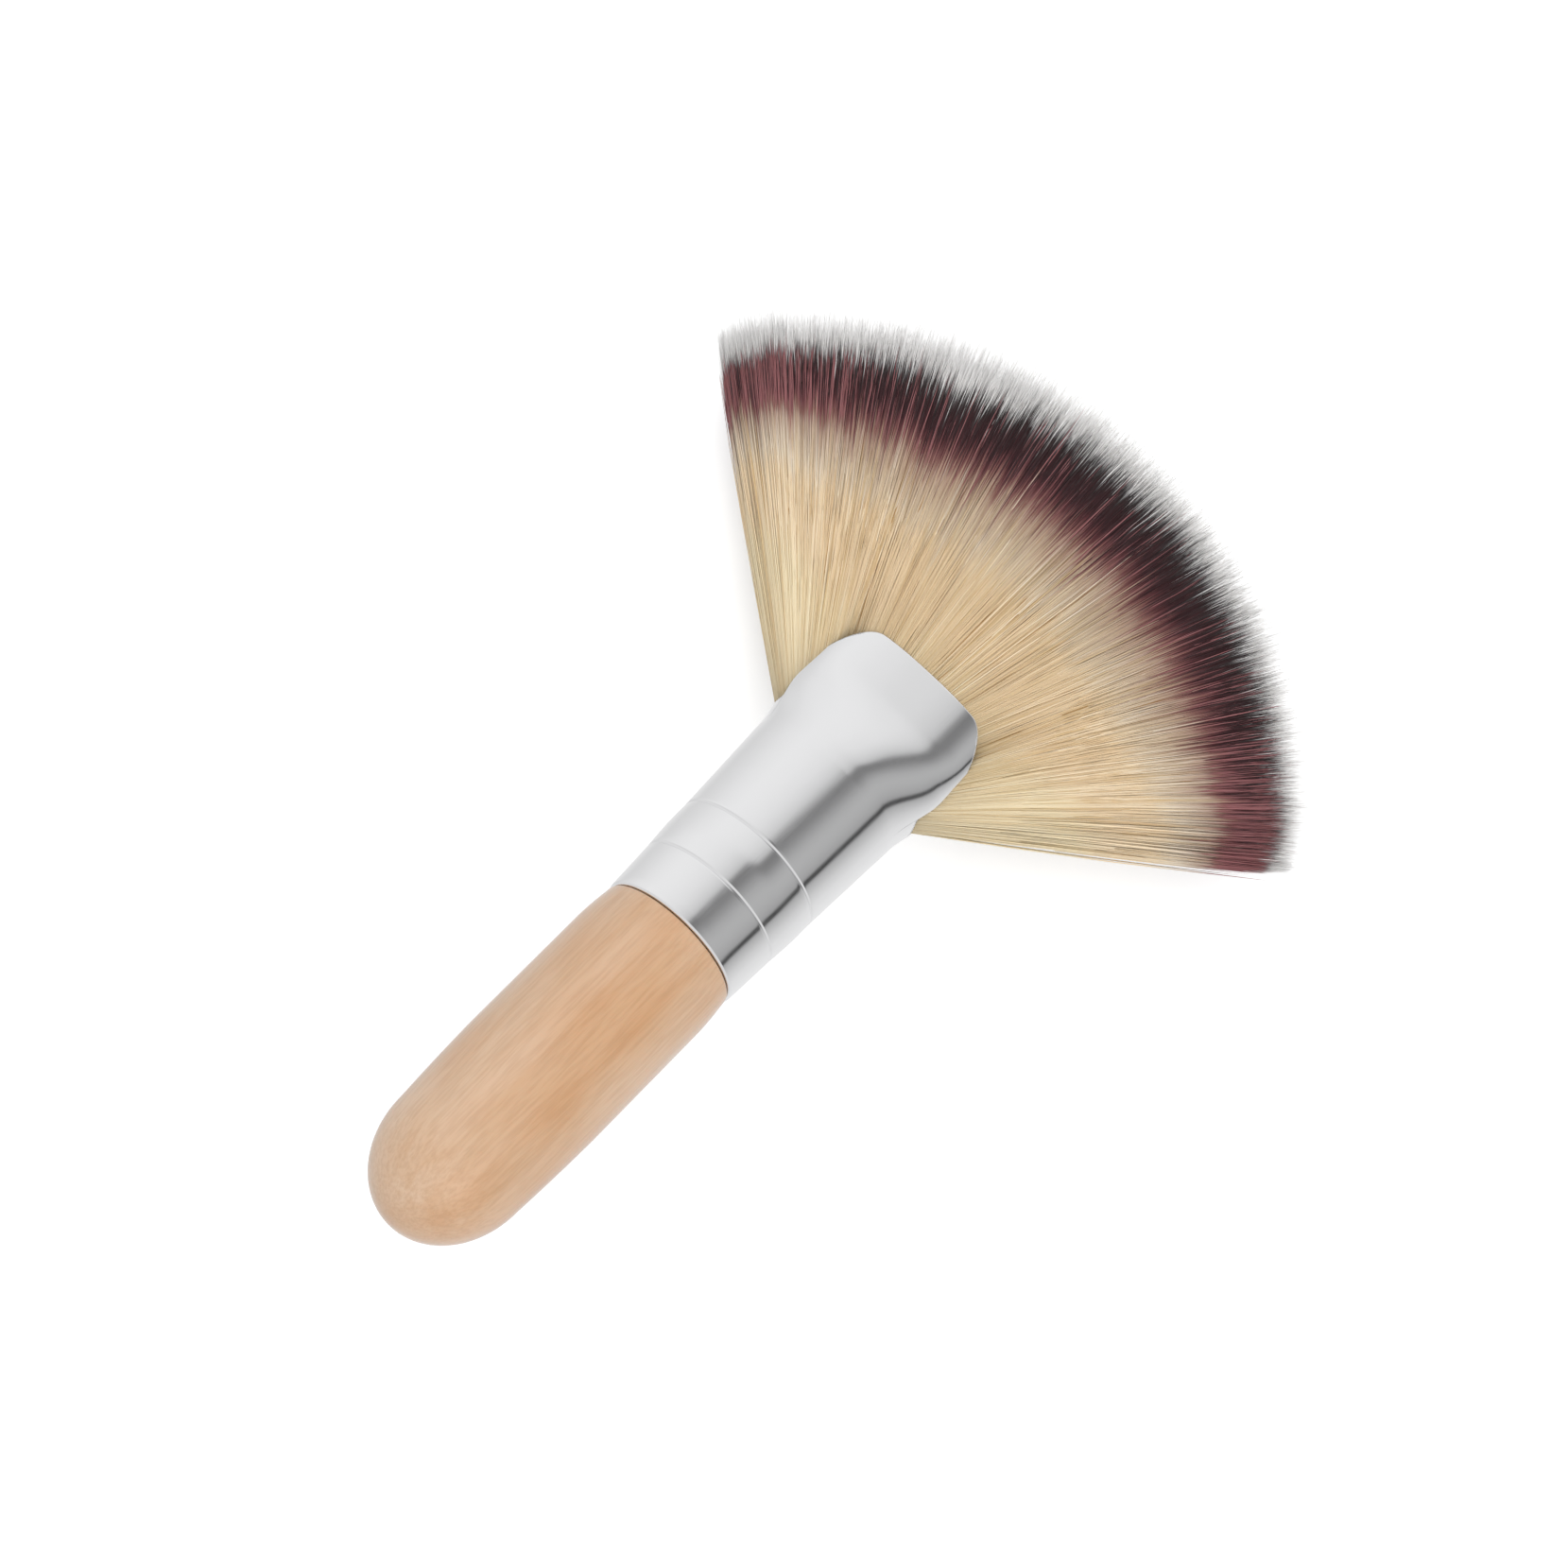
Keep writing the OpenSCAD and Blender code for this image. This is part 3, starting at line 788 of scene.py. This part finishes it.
def start_hairs(rng, amount):
    """Gives each hair of a layer its direction and its lock, and each lock its
    own middle, pull, rise and reach, in random units. Some of the hairs are
    kept for the fan's rounded edges, spread round their arc."""
    s = sizes()
    lock = rng.integers(0, s.lock_count, amount)
    lock_a = np.linspace(-1, 1, s.lock_count) * s.fan_half * LOCKS_FILL
    lock_a = lock_a + rng.normal(0, LOCK_SCATTER, s.lock_count) * s.fan_half / s.lock_count
    pull = rng.uniform(*LOCK_PULL, s.lock_count)
    rise = rng.normal(0, 1, s.lock_count)
    reach = rng.normal(0, 1, s.lock_count)
    width = s.fan_half / s.lock_count
    a0 = lock_a[lock] + rng.uniform(-LOCK_SPREAD, LOCK_SPREAD, amount) * width
    a0 = np.clip(a0, -s.fan_half * ROOT_LIMIT, s.fan_half * ROOT_LIMIT)
    turned = np.sin(rng.uniform(0, math.pi / 2, amount))
    side = rng.choice([-1, 1], amount)
    a_edge = side * (s.fan_half - s.edge_half * (1 - turned))
    at_edge = rng.uniform(0, 1, amount) < s.edge_share
    a0 = np.where(at_edge, a_edge, a0)
    nearest = (a0 / s.fan_half / LOCKS_FILL + 1) / 2 * (s.lock_count - 1)
    nearest = np.clip(nearest, 0, s.lock_count - 1).astype(int)
    lock = np.where(at_edge, nearest, lock)
    return SimpleNamespace(
        a0=a0, lock_a=lock_a[lock], pull=pull[lock], rise=rise[lock], reach=reach[lock]
    )


def hair_ends(rng, hairs, late_share, begin):
    """Radii at which the hairs begin and end, and which of them begin late."""
    s = sizes()
    q = hairs.a0 / s.fan_half
    amount = len(q)
    reach = REACH + LOCK_REACH * hairs.reach + rng.normal(0, REACH_SCATTER, amount)
    reach = reach + rng.exponential(REACH_TAIL, amount) + REACH_EDGE * q**2
    reach = reach - REACH_DEPTH * hairs.k**2
    tip = hairs.out * np.where(reach > 1.0, rng.uniform(*REACH_AGAIN, amount), reach)
    late = rng.uniform(0, 1, amount) < late_share
    late_first = rng.uniform(*begin, amount) * hairs.out
    first = np.where(late, late_first, leave_radius(hairs.a0) - HAIR_ROOT)
    return first, tip, late


def hair_course(rng, hairs, r):
    """Direction and rise of the hairs where their rings lie at radius r: they
    lean toward their lock, stray in a slow curve, and weave in and out of the
    surface."""
    s = sizes()
    amount = len(hairs.a0)
    a0 = hairs.a0[:, None]
    free = np.clip((r - leave_radius(hairs.a0)[:, None]) / FREE_LEN, 0, 1)
    lean = LOCK_LEAN * hairs.pull[:, None] * ease(free) ** 2
    a = a0 + (hairs.lock_a - hairs.a0)[:, None] * lean
    wild = np.where(rng.uniform(0, 1, (amount, 1)) < WILD_SHARE, WILD_STRAY, 1)
    stray = rng.normal(0, STRAY, (amount, 1)) * wild * free**STRAY_POWER
    stray = stray + rng.normal(0, WEAVE, r.shape) * free
    settled = ease((np.abs(a0) / s.fan_half - SETTLE_FROM) / SETTLE_OVER)
    stray = stray * (1 - SETTLE_STRAY * settled)
    a = np.clip(a + stray / r, -s.fan_half * END_LIMIT, s.fan_half * END_LIMIT)
    rise = LOCK_RISE * hairs.rise[:, None] * free
    rise = rise + rng.normal(0, END_RISE, (amount, 1)) * free**2
    rise = rise + rng.normal(0, RING_RISE, r.shape) * np.sqrt(free)
    return a, rise * (1 - SETTLE_RISE * settled)


def tube_points(rng, centre, a, radius):
    """Corners of three-sided tubes round the hairs' centre lines, each turned
    its own way, with the last point of each line left as the tube's point."""
    amount = len(centre)
    turn = rng.uniform(0, 2 * math.pi, (amount, 1, 1))
    corner = turn + np.arange(3)[None, None, :] * (2 * math.pi / 3)
    across = np.stack([np.cos(a), 0 * a, -np.sin(a)], axis=-1)[:, :-1, None, :]
    upward = np.array([0.0, 1.0, 0.0])
    offset = np.cos(corner)[..., None] * across + np.sin(corner)[..., None] * upward
    tube = centre[:, :-1, None, :] + offset * radius[:, :, None, None]
    body = tube.reshape(amount, radius.shape[1] * 3, 3)
    return np.concatenate([body, centre[:, -1:, :]], axis=1)


def tube_faces(amount, ring_count):
    """Faces of closed three-sided tubes that end in a point."""
    per_hair = ring_count * 3 + 1
    i = np.arange(ring_count - 1)[:, None] * 3
    j = np.arange(3)[None, :]
    b = (j + 1) % 3
    low = np.stack([i + j, i + b, i + 3 + b], axis=-1).reshape(-1, 3)
    high = np.stack([i + j, i + 3 + b, i + 3 + j], axis=-1).reshape(-1, 3)
    last = (ring_count - 1) * 3
    j = np.arange(3)
    point = np.stack([last + j, last + (j + 1) % 3, np.full(3, per_hair - 1)], axis=-1)
    one = np.concatenate([low, high, point, [[2, 1, 0]]])[:, ::-1]
    return one[None, :, :] + np.arange(amount)[:, None, None] * per_hair


def hair_dye(rng, hairs, r):
    """The uv pair of each point of the tubes: the hair's own number, low for a pale one, and its place
    as the dye follows it. Some hairs took less dye at random. More of the hairs near the fan's edges
    are made pale as painted light, which lightens the fan's two ends."""
    q = hairs.a0 / sizes().fan_half
    amount, rings = r.shape
    shift = rng.normal(0, DYE_SCATTER, (amount, 1)) + LOCK_DYE * hairs.reach[:, None]
    shift = shift * np.where(rng.uniform(0, 1, (amount, 1)) < DYE_WILD_SHARE, DYE_WILD, 1)
    v = dye_place(hairs.a0[:, None], r) + shift
    v = np.concatenate([np.repeat(v[:, :-1], 3, axis=1), v[:, -1:]], axis=1)
    pale_dye_and_edge_light = rng.uniform(0, 1, amount) < LITTLE_DYE + PAINTED_EDGE_LIGHT * q**4
    pale_u = rng.uniform(0, LITTLE_DYE_U, amount)
    tone = np.where(pale_dye_and_edge_light, pale_u, rng.uniform(LITTLE_DYE_U, 1, amount))
    u = np.repeat(tone[:, None], (rings - 1) * 3 + 1, axis=1)
    return np.stack([u, np.clip(v, 0, 1)], axis=-1).reshape(-1, 2)


def hair_layer(name, seed, amount, depth, rings, late_share, begin, fine, material):
    """A layer of separate hairs, which run out from the fan's centre at a part
    of its thickness between the two of depth. They begin inside the ferrule,
    or for late_share of them below the surface between the two parts of the
    radius in begin. rings are the places of the rings along a hair, and fine
    is its thickness beside the usual one."""
    s = sizes()
    rng = np.random.default_rng(seed)
    hairs = start_hairs(rng, amount)
    hairs.k = rng.uniform(*depth, amount)
    hairs.out = fan_outline(hairs.a0) - s.fan_lean * hairs.a0 / s.fan_half
    first, tip, late = hair_ends(rng, hairs, late_share, begin)
    q = np.append(rings, 1.0)[None, :]
    below = LATE_BELOW * late[:, None] * (1 - ease(q * LATE_RISE))
    r = first[:, None] + q * (tip - first)[:, None]
    a, rise = hair_course(rng, hairs, r)
    splay = 1 + SPLAY * np.clip((r / hairs.out[:, None] - SPLAY_FROM) / SPLAY_OVER, 0, 1)
    up = hairs.k[:, None] * (1 - below) * fan_up(hairs.a0[:, None], r) * splay + rise
    centre = np.stack([r * np.sin(a), up, s.fan_z + r * np.cos(a)], axis=-1)
    thick = fine * s.hair_d / 2 * rng.uniform(*THICK, (amount, 1))
    slim = np.clip((tip[:, None] - r) / POINT_LEN, POINT_LEAST, 1)
    points = tube_points(rng, centre, a, (thick * slim)[:, :-1]).reshape(-1, 3)
    points = lay_down(points[:, 0], points[:, 1], points[:, 2])
    faces = tube_faces(amount, len(rings)).reshape(-1, 3)
    return mesh_piece(name, points, [faces], material, hair_dye(rng, hairs, r))


def hair_core(material):
    """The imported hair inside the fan, as one closed body just under its
    surface, so that no light comes through between the hairs. Columns are
    directions, closed from front to back; rows are radii. Its end is rounded
    and pale, as the tips are."""
    s = sizes()
    columns = 120
    q = np.linspace(-1, 1, columns + 1)
    a = np.concatenate([q, q[-2:0:-1]])[None, :] * s.fan_half * CORE_HALF
    side = np.concatenate([np.ones(columns + 1), -np.ones(columns - 1)])[None, :]
    first = leave_radius(a) - CORE_ROOT
    end = fan_outline(a) * s.core_end
    bend = fan_outline(a) * s.core_bend
    part = np.linspace(0, 1, 15)[:, None]
    # The end's quarter ellipse stops just short of an edge without thickness
    turn = np.linspace(0, 0.97, 9)[1:, None] * math.pi / 2
    r = np.concatenate([first + part * (bend - first), bend + (end - bend) * np.sin(turn)])
    narrow = np.concatenate([np.ones_like(part), np.cos(turn)])
    up = side * CORE_T * fan_up(a, r) * narrow
    rows = len(r)
    x, along = r * np.sin(a), s.fan_z + r * np.cos(a)
    n = a.shape[1]
    quads = ring_faces(rows, n)
    j = np.arange(1, columns)
    lid = np.array([[0, 1, n - 1], [columns - 1, columns, columns + 1]])
    strip = np.stack([j, j + 1, n - j - 1, n - j], axis=-1)[: columns - 2]
    top = (rows - 1) * n
    faces = [quads, strip[:, ::-1], lid[:, ::-1], strip + top, lid + top]
    v = (dye_place(a, r) + s.core_pale * (1 - narrow)).reshape(-1)
    u = np.tile(np.linspace(LITTLE_DYE_U, 0.95, n), rows)
    points = lay_down(x, up, along).reshape(-1, 3)
    return mesh_piece("hair_core", points, faces, material, np.stack([u, v], axis=-1))


def dress(piece, slot_name, *nodes):
    """Puts a piece on the brush's body in place of CAD nodes, which it hides. slot_name is not used.
    """
    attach(piece, BODY)
    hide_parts(*nodes)
    return piece


class FANBRUSH_OT_camera(bpy.types.Operator):
    """Adds the camera that sees the brush as the picture does"""

    bl_idname = "fan_brush.camera"
    bl_label = "Camera"

    def execute(self, context):
        s = sizes()
        # How the axis is turned in the picture, tipped away from it, and
        # rolled; the picture's size, its pixels per metre, and the pixel that
        # shows the middle of the ferrule's lower edge
        psi, tau, rho = (math.radians(v) for v in (45.0, 21.6, 5.35))
        picture = 1659.0
        scale = 12.82 / MM
        centre = (707.0, 998.6)
        distance = 350 * MM
        axis = np.array([math.cos(tau) * math.cos(psi), math.cos(tau) * math.sin(psi), -math.sin(tau)])
        front = np.array([math.sin(tau) * math.cos(psi), math.sin(tau) * math.sin(psi), math.cos(tau)])
        right = np.cross(axis, front)
        across = right * math.cos(rho) + front * math.sin(rho)
        face = front * math.cos(rho) - right * math.sin(rho)
        seen = np.stack([across, axis, face], axis=1)
        cos_p, sin_p = math.cos(s.pitch), math.sin(s.pitch)
        lying = np.array([[1, 0, 0], [0, cos_p, sin_p], [0, -sin_p, cos_p]])
        world = (seen @ lying).T
        shift = np.array([(centre[0] - picture / 2) / scale, (picture / 2 - centre[1]) / scale, 0])
        ring = lay_down(0.0, 0.0, 0.0)
        place = ring + world @ (np.array([0, 0, distance]) - shift)
        data = bpy.data.cameras.new("Camera")
        data.sensor_width = 36
        data.lens = data.sensor_width * scale * distance / picture
        data.clip_start = 0.01
        data.clip_end = 20
        camera = add_object("Camera", data)
        matrix = Matrix(world.tolist()).to_4x4()
        matrix.translation = Vector(place.tolist())
        camera.matrix_world = matrix
        context.scene.camera = camera
        return {"FINISHED"}


class FANBRUSH_OT_handle(bpy.types.Operator):
    """Adds the turned and varnished handle"""

    bl_idname = "fan_brush.handle"
    bl_label = "Handle"

    def execute(self, context):
        dress(handle_piece(), "wood", "handle")
        return {"FINISHED"}


class FANBRUSH_OT_ferrule(bpy.types.Operator):
    """Adds the pressed and polished ferrule"""

    bl_idname = "fan_brush.ferrule"
    bl_label = "Ferrule"

    def execute(self, context):
        dress(ferrule_piece(), "aluminium", "ferrule")
        return {"FINISHED"}


class FANBRUSH_OT_glue(bpy.types.Operator):
    """Gives the glue plug inside the ferrule its epoxy"""

    bl_idname = "fan_brush.glue"
    bl_label = "Glue"

    def execute(self, context):
        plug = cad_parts["glue_plug"]
        plug.data.materials.clear()
        plug.data.materials.append(amber_epoxy())
        return {"FINISHED"}


class FANBRUSH_OT_hair(bpy.types.Operator):
    """Adds the fan of hair: its packed core and six layers of separate hairs"""

    bl_idname = "fan_brush.hair"
    bl_label = "Hair"

    def execute(self, context):
        s = sizes()
        material = banded_hair()
        outer = ([0, 0.3, 0.55, 0.76, 0.87, 0.95], 0.5, (0.36, 0.62), 1)
        inner = ([0, 0.4, 0.8], 1, (0.6, 0.7), 1)
        tips = ([0, 0.5, 0.85], 1, (0.74, 0.8), 0.75)
        middle = ([0, 0.6], 1, (0.82, 0.85), 1)
        core = dress(hair_core(material), "hair", "bristles")
        core.visible_glossy = False
        # Name, seed, amount, depth, then rings, late_share, begin and fine
        layers = [
            ("hair_front", 3, s.outer_hairs, (0.97, 1.005), *outer),
            ("hair_front_inner", 4, s.inner_hairs, (0.5, 0.97), *inner),
            ("hair_back_inner", 5, s.inner_hairs, (-0.97, -0.5), *inner),
            ("hair_back", 6, s.outer_hairs, (-1.005, -0.97), *outer),
            ("hair_tips", 7, s.tip_hairs, (-1.0, 1.0), *tips),
            ("hair_middle", 8, s.middle_hairs, (-0.8, 0.8), *middle),
        ]
        for layer in layers:
            piece = hair_layer(*layer, material)
            # The ferrule mirrors the tent alone, as a mirrored hair costs much
            piece.visible_glossy = False
            dress(piece, "hair", "bristles")
        return {"FINISHED"}


def studio_floor():
    """A white floor that keeps a faint shadow: part of its light is its own,
    which only the camera sees."""
    material, tree, surface = new_material("white_studio_floor")
    ray = add_node(tree, "LightPath").outputs
    share = {0: ray["Is Camera Ray"], 1: FLOOR_GLOW}
    own = add_node(tree, "Math", {"operation": "MULTIPLY"}, share).outputs[0]
    matt = add_node(tree, "BsdfDiffuse", inputs={"Color": grey(FLOOR_GREY)})
    glow = add_node(tree, "Emission", inputs={"Strength": own})
    both = add_node(tree, "AddShader", inputs={0: matt.outputs[0], 1: glow.outputs[0]})
    tree.links.new(both.outputs[0], surface)
    return material


def tent_brightness(tree, where):
    """What the ferrule mirrors: a white tent with a grey gap on the right,
    between a soft edge overhead and a thin dark line above the floor. The
    brightness is set by the angle round the brush's axis, from overhead toward
    +X, in degrees; for the pressed faces the soft edge lies further right."""
    split = add_node(tree, "SeparateXYZ", inputs={"Vector": where}).outputs
    sides = {0: split[0], 1: split[2]}
    around = add_node(tree, "Math", {"operation": "ARCTAN2"}, sides).outputs[0]
    turned = {0: around, 1: 180 / math.pi}
    degrees = add_node(tree, "Math", {"operation": "MULTIPLY"}, turned).outputs[0]
    shift = add_node(
        tree,
        "ValToRGB",
        inputs={"Fac": split[1]},
        stops=[(0.235, BLACK), (0.292, grey(0.3)), (0.55, grey(0.3)), (0.90, grey(0.5))],
        steps="EASE",
    ).outputs["Color"]
    # A full shift is 40 degrees overhead, and none at the dark line
    room = add_node(
        tree,
        "MapRange",
        inputs={"Value": degrees, "From Min": 30.0, "From Max": 75.0, "To Min": 40.0, "To Max": 0.0},
    ).outputs["Result"]
    shift = add_node(tree, "Math", {"operation": "MULTIPLY"}, {0: shift, 1: room}).outputs[0]
    part = add_node(tree, "Math", {"operation": "SUBTRACT"}, {0: degrees, 1: shift}).outputs[0]
    part = add_node(tree, "Math", {"operation": "ADD"}, {0: part, 1: 180.0}).outputs[0]
    part = add_node(tree, "Math", {"operation": "DIVIDE"}, {0: part, 1: 360.0}).outputs[0]
    stops = (
        (-180, 0.88), (-140, 0.72), (-113, 0.79), (-96, 0.85), (-70, 0.90), (-46, 0.88),
        (-25, 0.82), (-14, 0.75), (-5, 0.66), (1, 0.56), (5, 0.28), (9, 0.20), (15, 0.22),
        (25, 0.33), (35, 0.43), (46, 0.47), (56, 0.46), (67, 0.42), (76, 0.37), (79, 0.06),
        (84, 0.06), (86.5, 0.42), (92, 0.50), (107, 0.68), (124, 0.80), (147, 0.86),
    )
    tent = add_node(
        tree,
        "ValToRGB",
        inputs={"Fac": part},
        stops=[((place + 180) / 360, grey(value)) for place, value in stops],
    ).outputs["Color"]
    # White cloth hangs on the handle's side, which edges and grooves mirror
    cloth = add_node(
        tree,
        "MapRange",
        inputs={"Value": split[1], "From Min": -0.15, "From Max": -0.35, "To Min": 0.0, "To Max": 1.0},
    ).outputs["Result"]
    return add_node(tree, "Mix", MIXED, {0: cloth, 6: tent, 7: grey(CLOTH_GREY)}).outputs[2]


def studio_world():
    """White for the camera, an even pale light for the colours, and the tent
    for mirrors."""
    world = bpy.data.worlds.new("white_tent")
    bpy.context.scene.world = world
    world.use_nodes = True
    tree = world.node_tree
    tree.nodes.clear()
    output = tree.nodes.new("ShaderNodeOutputWorld")
    where = add_node(tree, "TexCoord").outputs["Generated"]
    tent = tent_brightness(tree, where)
    ray = add_node(tree, "LightPath").outputs
    white = {"Color": WHITE, "Strength": 1.0}
    even = add_node(tree, "Background", inputs=white)
    mirror = add_node(tree, "Background", inputs={"Color": tent, "Strength": 1.0})
    shown = add_node(tree, "Background", inputs=white)
    shaders = {0: ray["Is Glossy Ray"], 1: even.outputs[0], 2: mirror.outputs[0]}
    unseen = add_node(tree, "MixShader", inputs=shaders)
    shaders = {0: ray["Is Camera Ray"], 1: unseen.outputs[0], 2: shown.outputs[0]}
    both = add_node(tree, "MixShader", inputs=shaders)
    tree.links.new(both.outputs[0], output.inputs["Surface"])


def soft_lamp(name, place, size, watts):
    """A square lamp that points at the brush and doesn't show in mirrors."""
    data = bpy.data.lights.new(name, "AREA")
    data.shape = "SQUARE"
    data.size = size
    data.energy = watts
    lamp = add_object(name, data)
    lamp.location = place
    lamp.rotation_euler = (-Vector(place)).to_track_quat("-Z", "Y").to_euler()
    lamp.visible_glossy = False


class FANBRUSH_OT_stage(bpy.types.Operator):
    """Adds the white floor, the tent and the soft lamps"""

    bl_idname = "fan_brush.stage"
    bl_label = "Stage"

    def execute(self, context):
        half = FLOOR_HALF
        corners = [(-half, -half, 0), (half, -half, 0), (half, half, 0), (-half, half, 0)]
        mesh = bpy.data.meshes.new("studio_floor")
        mesh.from_pydata(corners, [], [(0, 1, 2, 3)])
        mesh.materials.append(studio_floor())
        floor = add_object("studio_floor", mesh)
        floor.visible_glossy = False
        studio_world()
        soft_lamp("key_lamp", place=(-0.35, 0.1, 0.6), size=0.5, watts=1.8)
        soft_lamp("fill_lamp", place=(0.45, -0.25, 0.5), size=0.6, watts=2.7)
        scene = context.scene
        scene.view_settings.view_transform = "Standard"
        # Light that has gone through this many hairs adds nothing that shows
        scene.cycles.max_bounces = 4
        scene.cycles.diffuse_bounces = 2
        scene.cycles.transmission_bounces = 2
        # Long thin hairs render sooner with split bounding boxes
        scene.cycles.debug_use_spatial_splits = True
        return {"FINISHED"}


class FANBRUSH_PT_panel(bpy.types.Panel):
    """Lists the brush's pieces in the sidebar"""

    bl_idname = "FANBRUSH_PT_panel"
    bl_label = "Fan Makeup Brush"
    bl_space_type = "VIEW_3D"
    bl_region_type = "UI"
    bl_category = "Fan Brush"

    def draw(self, context):
        for operator in OPERATORS:
            self.layout.operator(operator.bl_idname)


OPERATORS = (
    FANBRUSH_OT_camera,
    FANBRUSH_OT_handle,
    FANBRUSH_OT_ferrule,
    FANBRUSH_OT_glue,
    FANBRUSH_OT_hair,
    FANBRUSH_OT_stage,
)
CLASSES = (FanBrushSizes, FanBrushColours, *OPERATORS, FANBRUSH_PT_panel)


def register():
    """Registers the classes and puts the sizes and colours on the scene."""
    for cls in CLASSES:
        bpy.utils.register_class(cls)
    bpy.types.Scene.fan_brush_sizes = PointerProperty(type=FanBrushSizes)
    bpy.types.Scene.fan_brush_colours = PointerProperty(type=FanBrushColours)


def unregister():
    """Takes everything that register() added away again."""
    del bpy.types.Scene.fan_brush_colours
    del bpy.types.Scene.fan_brush_sizes
    for cls in reversed(CLASSES):
        bpy.utils.unregister_class(cls)


def main():
    """Builds the brush and its studio."""
    register()
    bpy.ops.fan_brush.camera()
    bpy.ops.fan_brush.handle()
    bpy.ops.fan_brush.ferrule()
    bpy.ops.fan_brush.glue()
    bpy.ops.fan_brush.hair()
    bpy.ops.fan_brush.stage()


if __name__ == "__main__":
    main()
